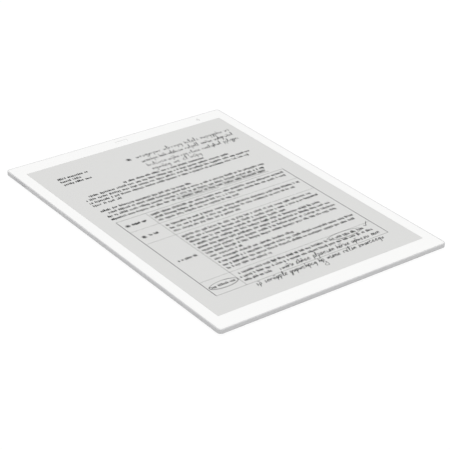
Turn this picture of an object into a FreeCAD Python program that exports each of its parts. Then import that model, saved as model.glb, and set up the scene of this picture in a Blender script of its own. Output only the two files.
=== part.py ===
"""Large-format e-reader: a thin white tablet with a page-sized electronic-paper screen.

The case is two shells. The front bezel is a frame that carries the screen stack, the support plate and
both buttons. The back cover is a shallow pan whose underside curves in from the edge to a flat back.

Frame, in millimetres: the origin is the centre of the flat back, +X points to the right-hand edge,
+Y to the top edge (the one with the socket and the power button) and +Z out of the screen.
"""

import FreeCAD, Part
import math
import os

from FreeCAD import Vector

# ---------------------------------------------------------------- driving dimensions
body_width = 224.0
body_height = 302.6
body_thickness = 5.9
corner_radius = 3.2          # corners seen from the front
edge_radius = 0.55           # rounding between the front face and the side
parting_height = 2.7         # the back cover is below, the front bezel above
groove = 0.15                # depth and height of the parting groove
taper_reach = 14.0           # how far in from the edge the back becomes flat
taper_corner_radius = 9.0    # corner radius of the flat part of the back
wall = 1.5                   # side wall of the bezel
seam_inset = 0.8             # fine groove where the white of the face meets the grey of the side
seam_width = 0.2
seam_depth = 0.12            # below the front face
floor_thickness = 1.0        # flat part of the back cover

active_width = 202.7         # the part of the screen that shows a page
active_height = 270.3
window_gap = 0.06            # gap between the film and the window, each side
lip_chamfer = 0.08
film_recess = 0.06           # the film lies almost flush with the bezel

button_clearance = 0.15
home_cap_size = (12.0, 3.4)          # pill, along X and Y
home_flange_size = (13.8, 5.2)
home_cap_recess = 0.04
power_cap_size = (9.6, 1.7)          # pill, along X and Z
power_cap_recess = 0.1
power_flange_size = (11.6, 1.8)
power_scoop_size = (15.0, 2.4)       # shallow finger recess round the power button
power_scoop_depth = 0.35
button_edge_radius = 0.2
usb_slot_size = (8.1, 3.0)           # pill, along X and Z
light_pipe_radius = 0.6

# ---------------------------------------------------------------- levels, from the back upwards
z_floor = floor_thickness
z_chip_face = 3.03           # underside of the main board, where the chips sit
z_board_top = 3.83
z_plate_low = 3.93           # the insulating sheet is between the board and the plate
z_plate_top = 4.63
z_panel_low = 4.73           # the panel tape is between the plate and the panel
z_ceiling = 4.75             # underside of the bezel's face
z_ink_low = 4.85
z_ink_top = 5.05
z_touch_low = 5.13
z_touch_top = 5.33
z_lip_low = 5.43             # the gasket is between the touch sensor and the bezel's lip
z_film_top = body_thickness - film_recess

# ---------------------------------------------------------------- plan dimensions worked out from those
window_width = active_width + 2 * window_gap
window_height = active_height + 2 * window_gap
pocket_half_x = active_width / 2 + 3.45    # recess in the bezel that holds the screen stack
pocket_half_y = active_height / 2 + 4.15
cavity_half_x = body_width / 2 - wall
cavity_half_y = body_height / 2 - wall
top_edge = body_height / 2
bezel_band_y = (window_height / 2 + top_edge) / 2   # middle of the bezel above the screen
plate_half_x = cavity_half_x - 1.2
plate_half_y = cavity_half_y - 1.2

# ---------------------------------------------------------------- where things are
home_y = bezel_band_y
power_x, power_z = 58.0, 4.15
lamp_x = 46.0
usb_x, usb_z = -40.0, 3.35
usb_mouth_y = top_edge - 0.6
usb_back_y = usb_mouth_y - 5.0
dock_y = top_edge - 22.5     # middle of the steel strips that a pen clings to
dock_z = 4.15
dock_length, dock_height, dock_depth = 19.0, 2.0, 0.5
flex_y = 140.4               # where both screen tails turn down through the plate
tail_x = (78.0, 102.0)       # display tail; the touch tail mirrors its far side
touch_tail_x = (-102.0, -84.0)
board_x = (-75.0, 75.0)
board_y = (108.0, 148.4)
battery_x = (-55.0, 55.0)
battery_y = (20.0, 92.0)
frame_screw_places = (
    [(side * 107.7, y) for side in (-1, 1) for y in (-144.5, -90, -36, 18, 72, 144.5)]
    + [(x, -144.5) for x in (-60, 0, 60)]
    + [(x, 144.5) for x in (-20, 20)]
)
board_screw_places = [(-71, 112), (71, 112), (-31, 141), (31, 141), (20, 112)]
screw_shank_radius = 0.65
screw_head_radius = 1.2
screw_head_height = 0.5
thread_clearance = 0.03
through_clearance = 0.15
plate_screw_tip = 5.35       # height that the plate screws reach in the bezel
board_screw_tip = 4.4
flex_thickness = 0.12
rib_rise = 0.7               # ribs and battery fence above the floor of the back cover
snap_tab_height = (1.9, 3.7)
tiny = 0.01                  # tolerance for telling edges apart


# ---------------------------------------------------------------- shape helpers
def rounded_outline(width, height, radius, z, cx=0.0, cy=0.0):
    """Closed wire at height z: four sides joined by quarter arcs."""
    x, y, r = width / 2, height / 2, radius
    k = r * (1 - math.sqrt(0.5))

    def at(px, py):
        return Vector(cx + px, cy + py, z)

    edges = []
    for start, end, bend, after in (
        (at(-x + r, -y), at(x - r, -y), at(x - k, -y + k), at(x, -y + r)),
        (at(x, -y + r), at(x, y - r), at(x - k, y - k), at(x - r, y)),
        (at(x - r, y), at(-x + r, y), at(-x + k, y - k), at(-x, y - r)),
        (at(-x, y - r), at(-x, -y + r), at(-x + k, -y + k), at(-x + r, -y)),
    ):
        if (end - start).Length > tiny:
            edges.append(Part.LineSegment(start, end).toShape())
        edges.append(Part.Arc(end, bend, after).toShape())
    return Part.Wire(edges)


def rounded_slab(width, height, radius, z_low, z_high, cx=0.0, cy=0.0):
    outline = rounded_outline(width, height, radius, z_low, cx, cy)
    return Part.Face(outline).extrude(Vector(0, 0, z_high - z_low))


def block(x, y, z):
    """Box from three (low, high) pairs."""
    return Part.makeBox(x[1] - x[0], y[1] - y[0], z[1] - z[0], Vector(x[0], y[0], z[0]))


def block_on(cx, cy, width, depth, z):
    """Box of a given plan size about a point, between two heights."""
    return block((cx - width / 2, cx + width / 2), (cy - depth / 2, cy + depth / 2), z)


def post(x, y, radius, z):
    return Part.makeCylinder(radius, z[1] - z[0], Vector(x, y, z[0]))


def pill(length, width, z, cx=0.0, cy=0.0):
    """Slab with round ends, long side along X."""
    return rounded_slab(length, width, width / 2 - tiny, z[0], z[1], cx, cy)


def pill_facing_y(length, height, y, cx, cz):
    """The same, standing on edge: long side along X, its thickness along Y."""
    shape = pill(length, height, (0, y[1] - y[0]))
    shape.rotate(Vector(0, 0, 0), Vector(1, 0, 0), 90)
    shape.translate(Vector(cx, y[1], cz))
    return shape


def pill_facing_x(length, height, x, cy, cz):
    """The same with its long side along Y and its thickness along X."""
    shape = rounded_slab(height, length, height / 2 - tiny, 0, x[1] - x[0])
    shape.rotate(Vector(0, 0, 0), Vector(0, 1, 0), 90)
    shape.translate(Vector(x[0], cy, cz))
    return shape


def cut_all(shape, tools):
    return shape.cut(Part.makeCompound(tools))


def profile_prism(points, y):
    """Prism along Y of a closed outline given as (x, z) points."""
    corners = [Vector(px, y[0], pz) for px, pz in points]
    return Part.Face(Part.makePolygon(corners + corners[:1])).extrude(Vector(0, y[1] - y[0], 0))


def routed_path(points, radius):
    """Straight runs joined by tangent arcs of one radius."""
    edges = []
    here = points[0]
    for before, corner, after in zip(points, points[1:], points[2:]):
        arriving = (corner - before).normalize()
        leaving = (after - corner).normalize()
        turn = arriving.getAngle(leaving)
        setback = radius * math.tan(turn / 2)
        start = corner - arriving * setback
        end = corner + leaving * setback
        inward = (leaving - arriving).normalize()
        middle = corner + inward * (radius / math.cos(turn / 2) - radius)
        edges.append(Part.LineSegment(here, start).toShape())
        edges.append(Part.Arc(start, middle, end).toShape())
        here = end
    edges.append(Part.LineSegment(here, points[-1]).toShape())
    return Part.Wire(edges)


def ribbon(x, path_yz, thickness, radius):
    """Flat flexible circuit: a thin strip that spans x and follows a path in the YZ plane."""
    path = routed_path([Vector(x[0], y, z) for y, z in path_yz], radius)
    (y0, z0), (y1, z1) = path_yz[:2]
    along = Vector(0, y1 - y0, z1 - z0).normalize()
    across = Vector(0, -along.z, along.y) * (thickness / 2)
    start = Vector(x[0], y0, z0)
    width = Vector(x[1] - x[0], 0, 0)
    corners = [start - across, start + across, start + across + width, start - across + width]
    section = Part.Wire(Part.makePolygon(corners + corners[:1]).Edges)
    return path.makePipeShell([section], True, True)


def screw(x, y, head_low, tip):
    """Cross-head screw pointing up: its head starts at head_low and its shank ends at tip."""
    head_top = head_low + screw_head_height
    head = post(x, y, screw_head_radius, (head_low, head_top))
    recess = (head_low, head_low + 0.6 * screw_head_height)
    slot = [block_on(x, y, 1.3, 0.3, recess), block_on(x, y, 0.3, 1.3, recess)]
    return cut_all(head.fuse(post(x, y, screw_shank_radius, (head_top, tip))), slot).removeSplitter()


def dock_strip(side, room=0.0, proud=0.0):
    """Steel strip set flush in one side of the case (-1 left, 1 right). Its recess has some room round it."""
    face = body_width / 2
    near, far = side * (face - dock_depth), side * (face + proud)
    return pill_facing_x(dock_length + 2 * room, dock_height + 2 * room, sorted((near, far)), dock_y, dock_z)


# ---------------------------------------------------------------- case
def tapered_pan(top_inset, floor_inset, z_top, z_bottom):
    """Solid whose outline draws in along a quarter ellipse, from its top down to a flat bottom."""
    sections = 12
    outlines = []
    for i in range(sections):
        angle = math.pi / 2 * i / (sections - 1)
        share = 1 - math.cos(angle)
        inset = top_inset + (floor_inset - top_inset) * share
        z = z_top - (z_top - z_bottom) * math.sin(angle)
        radius = (corner_radius - top_inset) * (1 - share) + taper_corner_radius * share
        outlines.append(rounded_outline(body_width - 2 * inset, body_height - 2 * inset, radius, z))
    return Part.makeLoft(outlines, True, True)


def usb_slot():
    """Opening for the charging socket, cut through both shells."""
    return pill_facing_y(*usb_slot_size, (cavity_half_y - 2, top_edge + 1), usb_x, usb_z)


def seam_block(inset, z_low):
    outline = (body_width - 2 * inset, body_height - 2 * inset, corner_radius - inset)
    return rounded_slab(*outline, z_low, body_thickness + 1)


def make_front_bezel():
    shell = rounded_slab(body_width, body_height, corner_radius, parting_height, body_thickness)
    front_edges = [e for e in shell.Edges if e.BoundBox.ZMin > body_thickness - tiny]
    shell = shell.makeFillet(edge_radius, front_edges)

    cavity = rounded_slab(2 * cavity_half_x, 2 * cavity_half_y, corner_radius - wall,
                          parting_height - 1, z_ceiling)
    pocket = rounded_slab(2 * pocket_half_x, 2 * pocket_half_y, 1.0, z_ceiling - 1, z_lip_low)
    window = rounded_slab(window_width, window_height, 0.4, z_lip_low - 1, body_thickness + 1)
    shell = shell.cut(cavity).cut(pocket).cut(window)
    lip_edges = [
        e for e in shell.Edges
        if e.BoundBox.ZMin > body_thickness - tiny
        and abs(e.CenterOfMass.x) < window_width / 2 + tiny
        and abs(e.CenterOfMass.y) < window_height / 2 + tiny
    ]
    shell = shell.makeChamfer(lip_chamfer, lip_edges)

    seam_floor = body_thickness - seam_depth
    seam_inner = seam_block(seam_inset + seam_width, seam_floor - 1)
    shell = shell.cut(seam_block(seam_inset, seam_floor).cut(seam_inner))

    tail_relief_top = z_ink_low + 0.25
    home_hole = [size + 2 * button_clearance for size in home_cap_size]
    home_pocket = [size + 4 * button_clearance for size in home_flange_size]
    power_hole = [size + 2 * button_clearance for size in power_cap_size]
    tools = [
        # home button: hole for the cap, pocket for its flange
        pill(*home_hole, (z_ceiling - 1, body_thickness + 1), 0, home_y),
        pill(*home_pocket, (z_ceiling - 1, home_flange_z[1] + 0.05), 0, home_y),
        # power button: slot for the cap, finger recess outside, room for its flange inside
        pill_facing_y(*power_hole, (cavity_half_y - 1, top_edge + 1), power_x, power_z),
        pill_facing_y(*power_scoop_size, (top_edge - power_scoop_depth, top_edge + 1), power_x, power_z),
        block_on(power_x, cavity_half_y - 0.7, power_flange_size[0] + 2.4, 1.4, (z_ceiling - 1, 5.25)),
        # lamp, socket and the two pen strips
        Part.makeCylinder(light_pipe_radius + 0.02, 4, Vector(lamp_x, cavity_half_y - 1, power_z),
                          Vector(0, 1, 0)),
        usb_slot(),
        block_on(usb_x, cavity_half_y - 0.6, 9, 4.2, (z_ceiling - 1, 4.9)),
        dock_strip(-1, room=0.1, proud=1),
        dock_strip(1, room=0.1, proud=1),
        # relief above the two screen tails
        block((tail_x[0] - 1, tail_x[1] + 1), (pocket_half_y - 1, flex_y + 0.8),
              (z_ceiling - 1, tail_relief_top)),
        block((touch_tail_x[0] - 1, touch_tail_x[1] + 1), (pocket_half_y - 1, flex_y + 0.8),
              (z_ceiling - 1, z_lip_low)),
    ]
    screw_hole_z = (z_ceiling - 1, plate_screw_tip + 0.05)
    for x, y in frame_screw_places:
        tools.append(post(x, y, screw_shank_radius + thread_clearance, screw_hole_z))
    return cut_all(shell, tools)


def make_back_cover():
    groove_top = parting_height
    groove_low = parting_height - groove
    outside = tapered_pan(0.0, taper_reach, groove_low, 0.0)
    rim = rounded_slab(body_width - 2 * groove, body_height - 2 * groove, corner_radius - groove,
                       groove_low - 0.05, groove_top)
    inside = tapered_pan(wall, taper_reach + 0.5, groove_top + 0.05, z_floor)
    shell = outside.fuse(rim).cut(inside)

    rib_height = (z_floor - 0.1, z_floor + rib_rise)
    cell_x = battery_x[1] - battery_x[0]
    cell_y = battery_y[1] - battery_y[0]
    cell_middle = (battery_y[0] + battery_y[1]) / 2
    fence = block_on(0, cell_middle, cell_x + 3, cell_y + 3, rib_height).cut(
        block_on(0, cell_middle, cell_x + 1.4, cell_y + 1.4, rib_height))
    additions = [fence]
    for side in (-1, 1):
        for y in (-120, -60, 0, 60):
            additions.append(block_on(side * (cavity_half_x - 0.5), y, 0.8, 8, snap_tab_height))
        for x in (-90, -30, 30, 90):
            if side < 0 or abs(x) == 90:
                additions.append(block_on(x, side * (cavity_half_y - 0.5), 8, 0.8, snap_tab_height))
    for y in (-110, -75, -40, -5):
        additions.append(block((-88, 88), (y - 0.4, y + 0.4), rib_height))
    return shell.fuse(additions).cut(usb_slot()).removeSplitter()


# ---------------------------------------------------------------- screen stack
def centred_layer(half_x, half_y, z, radius=0.5):
    return rounded_slab(2 * half_x, 2 * half_y, radius, z[0], z[1])


touch_half_x = pocket_half_x - 0.8
touch_half_y = pocket_half_y - 0.8
ink_half_x = active_width / 2 + 0.95
ink_half_y = active_height / 2 + 0.95
ledge_end_y = pocket_half_y - 0.3        # the backplane's driver ledge sticks out at the top


def make_front_film():
    return centred_layer(active_width / 2, active_height / 2, (z_touch_top, z_film_top), 0.3)


def make_panel_gasket():
    z = (z_touch_top, z_lip_low)
    ring = centred_layer(touch_half_x - 0.2, touch_half_y - 0.2, z)
    return ring.cut(centred_layer(window_width / 2 + 0.4, window_height / 2 + 0.4, z))


def make_touch_sensor():
    return centred_layer(touch_half_x, touch_half_y, (z_touch_low, z_touch_top))


def make_optical_adhesive():
    return centred_layer(ink_half_x, ink_half_y, (z_ink_top, z_touch_low))


def make_epaper_film():
    return centred_layer(ink_half_x, ink_half_y, (z_ink_low, z_ink_top))


def make_tft_backplane():
    half_x = ink_half_x + 0.5
    return block((-half_x, half_x), (-ink_half_y - 0.5, ledge_end_y), (z_panel_low, z_ink_low))


def make_driver_chips():
    """Six long thin driver chips along the backplane's ledge."""
    count, length, spacing = 6, 17.0, 31.0
    middle_y = (ink_half_y + ledge_end_y) / 2
    return [
        block_on((i - (count - 1) / 2) * spacing, middle_y, length, 1.2, (z_ink_low, z_ink_low + 0.25))
        for i in range(count)
    ]


def make_panel_tape():
    return [block((-92, 92), (y - 9, y + 9), (z_plate_top, z_panel_low)) for y in (-110, -37, 37, 110)]


def screen_tail(x, start_y, start_z, branch_x):
    """Flexible tail from the edge of the screen down through the plate, with a branch to its connector."""
    low = 2.5
    tail = ribbon(x, [(start_y, start_z), (flex_y, start_z), (flex_y, low), (124, low)], flex_thickness, 0.5)
    branch_z = (low - flex_thickness / 2, low + flex_thickness / 2)
    return tail.fuse(block(branch_x, (124, 137), branch_z)).removeSplitter()


def make_display_flex():
    return screen_tail(tail_x, ledge_end_y, 4.79, (72, tail_x[0]))


def make_touch_flex():
    return screen_tail(touch_tail_x, touch_half_y, 5.23, (touch_tail_x[1], -74))


# ---------------------------------------------------------------- support plate and screws
def make_support_plate():
    sheet = rounded_slab(2 * plate_half_x, 2 * plate_half_y, 1.5, z_plate_low, z_plate_top)
    z = (z_plate_low - 1, z_plate_top + 1)
    past_edge = plate_half_y + 1
    tools = [
        block_on(0, home_y, 18, 7.2, z),                                  # home switch
        block((usb_x - 6, usb_x + 6), (143, past_edge), z),               # charging socket
        block((lamp_x - 4, power_x + 9), (142.5, past_edge), z),          # power switch and lamp
        block((tail_x[0] - 1, tail_x[1] + 1), (flex_y - 0.6, flex_y + 0.6), z),
        block((touch_tail_x[0] - 1, touch_tail_x[1] + 1), (flex_y - 0.6, flex_y + 0.6), z),
        block((-105, -79), (141.8, past_edge), z),                        # clear of the aerial
    ]
    for x, y in frame_screw_places:
        tools.append(post(x, y, screw_shank_radius + through_clearance, z))
    for x, y in board_screw_places:
        tools.append(post(x, y, screw_shank_radius + thread_clearance, z))
    return cut_all(sheet, tools)


def make_frame_screws():
    head_low = z_plate_low - screw_head_height
    return [screw(x, y, head_low, plate_screw_tip) for x, y in frame_screw_places]


def make_board_screws():
    head_low = z_chip_face - screw_head_height
    return [screw(x, y, head_low, board_screw_tip) for x, y in board_screw_places]


# ---------------------------------------------------------------- main board and what is on it
def board_outline(z, hole_radius):
    """The board's plan shape between two heights, with its notches and screw holes."""
    sheet = rounded_slab(board_x[1] - board_x[0], board_y[1] - board_y[0], 1.5, z[0], z[1],
                         0, (board_y[0] + board_y[1]) / 2)
    past_edge = board_y[1] + 1
    tools = [
        block((-26, 26), (136.5, past_edge), z),                          # home switch
        block((usb_x - 3.85, usb_x + 3.85), (usb_back_y, past_edge), z),  # charging socket
    ]
    for x, y in board_screw_places:
        tools.append(post(x, y, hole_radius, z))
    return cut_all(sheet, tools)


def make_main_board():
    return board_outline((z_chip_face, z_board_top), screw_shank_radius + through_clearance)


def make_board_insulator():
    """Sheet between the board and the plate, cut away round what stands on the board's upper side."""
    z = (z_board_top, z_plate_low)
    past_edge = board_y[1] + 1
    upper_parts = [
        block((lamp_x - 3, power_x + 6), (144.5, past_edge), z),
        block((usb_x - 6, usb_x + 6), (144.5, past_edge), z),
    ]
    return cut_all(board_outline(z, screw_shank_radius + 2 * through_clearance), upper_parts)


def chip(cx, cy, width, depth, height):
    """Square package on the underside of the board, with its pin-one corner cut off."""
    z = (z_chip_face - height, z_chip_face)
    body = block_on(cx, cy, width, depth, z)
    corner = [e for e in body.Edges if abs(e.CenterOfMass.x - (cx - width / 2)) < tiny
              and abs(e.CenterOfMass.y - (cy - depth / 2)) < tiny]
    return body.makeChamfer(0.5, corner)


def shield_can(x, y, height, thickness=0.2):
    """Pressed steel cover, open towards the board, with a row of vent holes."""
    z_low = z_chip_face - height
    outer = block(x, y, (z_low, z_chip_face))
    uprights = [e for e in outer.Edges if abs(e.BoundBox.ZLength - height) < tiny]
    outer = outer.makeFillet(0.8, uprights)
    inner = block((x[0] + thickness, x[1] - thickness), (y[0] + thickness, y[1] - thickness),
                  (z_low + thickness, z_chip_face))
    vents = []
    count = int((x[1] - x[0]) / 4)
    for i in range(count):
        vent_x = x[0] + (i + 0.5) * (x[1] - x[0]) / count
        vents.append(post(vent_x, y[1] - 1.8, 0.4, (z_low, z_low + thickness)))
    return cut_all(outer, [inner] + vents)


chip_row_y = 119.2
chips = {
    # name: centre x, centre y, width, depth, height
    "application_processor": (-29.0, chip_row_y, 14.0, 14.0, 0.9),
    "memory_chip": (-13.0, chip_row_y, 11.0, 10.0, 0.8),
    "flash_storage": (2.5, chip_row_y, 13.0, 11.5, 0.9),
    "power_management_chip": (-50.0, 114.0, 6.0, 6.0, 0.8),
    "touch_controller_chip": (-63.5, 114.0, 5.0, 5.0, 0.7),
    "wireless_module": (-56.0, 131.5, 9.0, 9.0, 1.0),
    "screen_power_chip": (52.0, 124.0, 7.0, 7.0, 0.8),
    "tap_reader_chip": (48.0, 134.0, 5.0, 5.0, 0.7),
    "clock_crystal": (24.0, 131.0, 3.2, 2.5, 0.7),
}


shield_height = 1.48


def make_processor_shield():
    return shield_can((-40, 14), (109.5, 129), shield_height)


def make_radio_shield():
    return shield_can((-64, -48), (124, 139), shield_height)


def make_thermal_pad():
    """Soft pad that carries heat from the processor to its shield."""
    cx, cy, _, _, height = chips["application_processor"]
    return block_on(cx, cy, 10, 10, (z_chip_face - shield_height + 0.2, z_chip_face - height))


def make_power_inductors():
    z = (z_chip_face - 1.1, z_chip_face)
    return [rounded_slab(4, 4, 0.8, z[0], z[1], x, 114) for x in (46, 52, 58, 64)]


def make_small_capacitors():
    z = (z_chip_face - 0.45, z_chip_face)
    places = [(17.5 + 2.4 * i, y) for i in range(11) for y in (118, 121, 124)]
    places += [(x, 131 + 2 * i) for i in range(3) for x in (-44, -41.5, -34, -28, -22, -16, 12)]
    return [block_on(x, y, 1.0, 0.5, z) for x, y in places]


def flex_socket(x, y, height=0.9):
    """Low connector whose mouth swallows a flat flexible circuit."""
    z = (z_chip_face - height, z_chip_face)
    body = block(x, y, z)
    latch_x = (x[0] + 0.35 * (x[1] - x[0]), x[0] + 0.65 * (x[1] - x[0]))
    return body.cut(block(latch_x, (y[0] + 0.5, y[1] - 0.5), (z[0], z[0] + 0.15)))


def make_display_connector():
    return flex_socket((67, 72), (123, 138))


def make_touch_connector():
    return flex_socket((-74, -69), (123, 138))


def make_home_connector():
    return flex_socket((-4, 4), (131, 135), 0.7)


battery_plug_x = (29.0, 39.0)


def make_battery_connector():
    return block(battery_plug_x, (108.5, 112.5), (z_chip_face - 1.0, z_chip_face))


# ---------------------------------------------------------------- battery
def make_battery_cell():
    cell = block(battery_x, battery_y, (1.23, z_board_top))
    return cell.makeFillet(0.9, [e for e in cell.Edges if e.BoundBox.YLength > 1])


def make_battery_tape():
    low, high = battery_y
    return [block((-48, 48), (y - 6, y + 6), (z_board_top, z_plate_low)) for y in (low + 14, high - 14)]


def make_battery_board():
    """Protection circuit along the cell's top edge."""
    return block((-45, 45), (battery_y[1], battery_y[1] + 5), (2.1, 2.9))


def make_battery_lead():
    x = (battery_plug_x[0] + 2, battery_plug_x[1] - 2)
    return block(x, (battery_y[1] + 5, 108.5), (2.4, 2.4 + flex_thickness))


# ---------------------------------------------------------------- charging socket
usb_sheet = 0.25


def usb_outline(inset):
    """The socket's outline: flat top, straight sides, lower corners cut off."""
    half_w, half_h, shoulder, foot = 3.75 - inset, 1.25 - inset, -0.35, 2.85 - inset
    return [
        (usb_x - half_w, usb_z + half_h), (usb_x + half_w, usb_z + half_h),
        (usb_x + half_w, usb_z + shoulder), (usb_x + foot, usb_z - half_h),
        (usb_x - foot, usb_z - half_h), (usb_x - half_w, usb_z + shoulder),
    ]


def make_usb_shell():
    """Folded steel shell with two ears that are soldered to the top of the board."""
    outer = profile_prism(usb_outline(0), (usb_back_y, usb_mouth_y))
    ears = block((usb_x - 5.2, usb_x + 5.2), (146.0, 148.0), (z_board_top, z_board_top + usb_sheet))
    inside = profile_prism(usb_outline(usb_sheet), (usb_back_y + usb_sheet, usb_mouth_y))
    return outer.fuse(ears).cut(inside).removeSplitter()


tongue_z = (usb_z + 0.1, usb_z + 0.7)


def make_usb_tongue():
    root = profile_prism(usb_outline(usb_sheet), (usb_back_y + usb_sheet, usb_back_y + 1.25))
    blade = block((usb_x - 1.9, usb_x + 1.9), (usb_back_y + 1.25, usb_mouth_y - 0.9), tongue_z)
    return root.fuse(blade).removeSplitter()


def make_usb_contacts():
    pitch, width, depth = 0.65, 0.35, 0.1
    return [
        block((usb_x + i * pitch - width / 2, usb_x + i * pitch + width / 2),
              (usb_back_y + 1.25, usb_mouth_y - 1.1), (tongue_z[0] - depth, tongue_z[0]))
        for i in (-2, -1, 0, 1, 2)
    ]


# ---------------------------------------------------------------- power button, lamp
power_flange_y = (cavity_half_y - 0.6, cavity_half_y - 0.1)
power_plunger_y = (power_flange_y[0] - 2.1, power_flange_y[0])


def make_power_button_cap():
    outer_y = top_edge - power_cap_recess
    face = pill_facing_y(*power_cap_size, (power_flange_y[1], outer_y), power_x, power_z)
    rim = [e for e in face.Edges if e.BoundBox.YMin > outer_y - tiny]
    face = face.makeFillet(button_edge_radius, rim)
    half_x, half_z = (size / 2 for size in power_flange_size)
    flange = block((power_x - half_x, power_x + half_x), power_flange_y, (power_z - half_z, power_z + half_z))
    return face.fuse(flange).removeSplitter()


def make_power_switch_plunger():
    return block((power_x - 0.9, power_x + 0.9), power_plunger_y, (4.0, 4.45))


def make_power_switch():
    body = block((power_x - 2.2, power_x + 2.2), (145.9, 148.1), (z_board_top, 4.68))
    return body.cut(block((power_x - 1.05, power_x + 1.05), (146.6, 149), (3.9, 4.55)))


def make_lamp():
    return block_on(lamp_x, 147.6, 1.6, 0.8, (z_board_top, z_board_top + 0.6))


def make_light_pipe():
    inner_end = board_y[1] + 0.1
    length = top_edge - 0.05 - inner_end
    return Part.makeCylinder(light_pipe_radius, length, Vector(lamp_x, inner_end, power_z), Vector(0, 1, 0))


# ---------------------------------------------------------------- home button
home_flange_z = (4.87, 5.15)
home_nub_z = (4.75, home_flange_z[0])
home_plunger_z = (4.3, home_nub_z[0])
home_base_z = (z_plate_low, 4.45)


def make_home_button_cap():
    top_z = body_thickness - home_cap_recess
    face = pill(*home_cap_size, (home_flange_z[1], top_z), 0, home_y)
    rim = [e for e in face.Edges if e.BoundBox.ZMin > top_z - tiny]
    face = face.makeFillet(button_edge_radius, rim)
    flange = pill(*home_flange_size, home_flange_z, 0, home_y)
    return face.fuse([flange, post(0, home_y, 1.2, home_nub_z)]).removeSplitter()


def make_home_switch_plunger():
    return post(0, home_y, 0.85, home_plunger_z)


def make_home_switch():
    body = block_on(0, home_y, 5, 3.6, home_base_z)
    return body.cut(post(0, home_y, 1.0, (4.0, home_base_z[1])))


def make_home_switch_flex():
    """Stiffened flexible circuit under the home switch, with a tail that runs below the main board."""
    pad_depth = 9.4
    pad = block_on(0, home_y, 22, pad_depth, (z_plate_low - 0.3, z_plate_low))
    pad_edge = home_y - pad_depth / 2
    level = z_plate_low - 0.2
    tail = ribbon((-3, 3), [(pad_edge, level), (137.3, level), (137.3, 2.75), (135, 2.75)],
                  flex_thickness, 0.3)
    return pad.fuse(tail).removeSplitter()


# ---------------------------------------------------------------- aerials
def make_wireless_aerial():
    """Thin copper pattern under the bezel's face: one bar with three fingers."""
    z = (z_ceiling - 0.1, z_ceiling)
    bar = block((-103, -80), (142.6, 144.8), z)
    fingers = [block((x, x + 3), (144.8, 148.6), z) for x in (-103, -94.5, -83)]
    return bar.fuse(fingers).removeSplitter()


def make_aerial_socket():
    return post(-66, 144, 1.3, (2.2, z_chip_face))


def make_aerial_lead():
    """Thin coaxial lead from its socket on the board up to the aerial."""
    radius = 0.4
    run_z, top_z = 2.6, z_ceiling - 0.1 - radius
    route = [Vector(x, 144, z) for x, z in ((-67.3, run_z), (-78, run_z), (-86, top_z), (-92, top_z))]
    path = routed_path(route, 8.0)
    section = Part.Wire(Part.makeCircle(radius, route[0], Vector(-1, 0, 0)))
    return path.makePipeShell([section], True, True)


def make_tap_aerial():
    """Flat coil of three nested turns above the plate, joined by short bars."""
    cx, cy, z = 84.0, 145.1, (z_plate_top, z_plate_top + 0.1)
    turns = []
    for i in range(3):
        width, depth = 28 - 2.6 * i, 6.4 - 2.0 * i
        ring = block_on(cx, cy, width, depth, z)
        turns.append(ring.cut(block_on(cx, cy, width - 1.2, depth - 1.2, z)))
    bar = block((cx - 14, cx - 10.2), (cy - 0.3, cy + 0.3), z)
    return turns[0].fuse(turns[1:] + [bar]).removeSplitter()


# ---------------------------------------------------------------- padding
def make_foam_pads():
    pads = [block_on(x, y, 14, 14, (z_floor, z_plate_low)) for x in (-72, 72) for y in (-20, 50)]
    pads += [block_on(x, -92, 14, 14, (z_floor, z_plate_low)) for x in (-72, 0, 72)]
    pads.append(block((-36, 10), (112, 126), (z_floor, z_chip_face - shield_height)))
    return pads


# ---------------------------------------------------------------- build everything
parts = {
    "front_bezel": make_front_bezel(),
    "back_cover": make_back_cover(),
    "front_film": make_front_film(),
    "panel_gasket": make_panel_gasket(),
    "touch_sensor": make_touch_sensor(),
    "optical_adhesive": make_optical_adhesive(),
    "epaper_film": make_epaper_film(),
    "tft_backplane": make_tft_backplane(),
    "driver_chips": make_driver_chips(),
    "panel_tape": make_panel_tape(),
    "display_flex": make_display_flex(),
    "touch_flex": make_touch_flex(),
    "support_plate": make_support_plate(),
    "frame_screws": make_frame_screws(),
    "main_board": make_main_board(),
    "board_screws": make_board_screws(),
    "board_insulator": make_board_insulator(),
    "processor_shield": make_processor_shield(),
    "radio_shield": make_radio_shield(),
    "thermal_pad": make_thermal_pad(),
    "power_inductors": make_power_inductors(),
    "small_capacitors": make_small_capacitors(),
    "display_connector": make_display_connector(),
    "touch_connector": make_touch_connector(),
    "home_connector": make_home_connector(),
    "battery_connector": make_battery_connector(),
    "battery_cell": make_battery_cell(),
    "battery_tape": make_battery_tape(),
    "battery_board": make_battery_board(),
    "battery_lead": make_battery_lead(),
    "usb_shell": make_usb_shell(),
    "usb_tongue": make_usb_tongue(),
    "usb_contacts": make_usb_contacts(),
    "power_button_cap": make_power_button_cap(),
    "power_switch_plunger": make_power_switch_plunger(),
    "power_switch": make_power_switch(),
    "lamp": make_lamp(),
    "light_pipe": make_light_pipe(),
    "home_button_cap": make_home_button_cap(),
    "home_switch_plunger": make_home_switch_plunger(),
    "home_switch": make_home_switch(),
    "home_switch_flex": make_home_switch_flex(),
    "wireless_aerial": make_wireless_aerial(),
    "aerial_socket": make_aerial_socket(),
    "aerial_lead": make_aerial_lead(),
    "tap_aerial": make_tap_aerial(),
    "dock_strip_left": dock_strip(-1),
    "dock_strip_right": dock_strip(1),
    "foam_pads": make_foam_pads(),
}
for chip_name, place in chips.items():
    parts[chip_name] = chip(*place)

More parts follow.
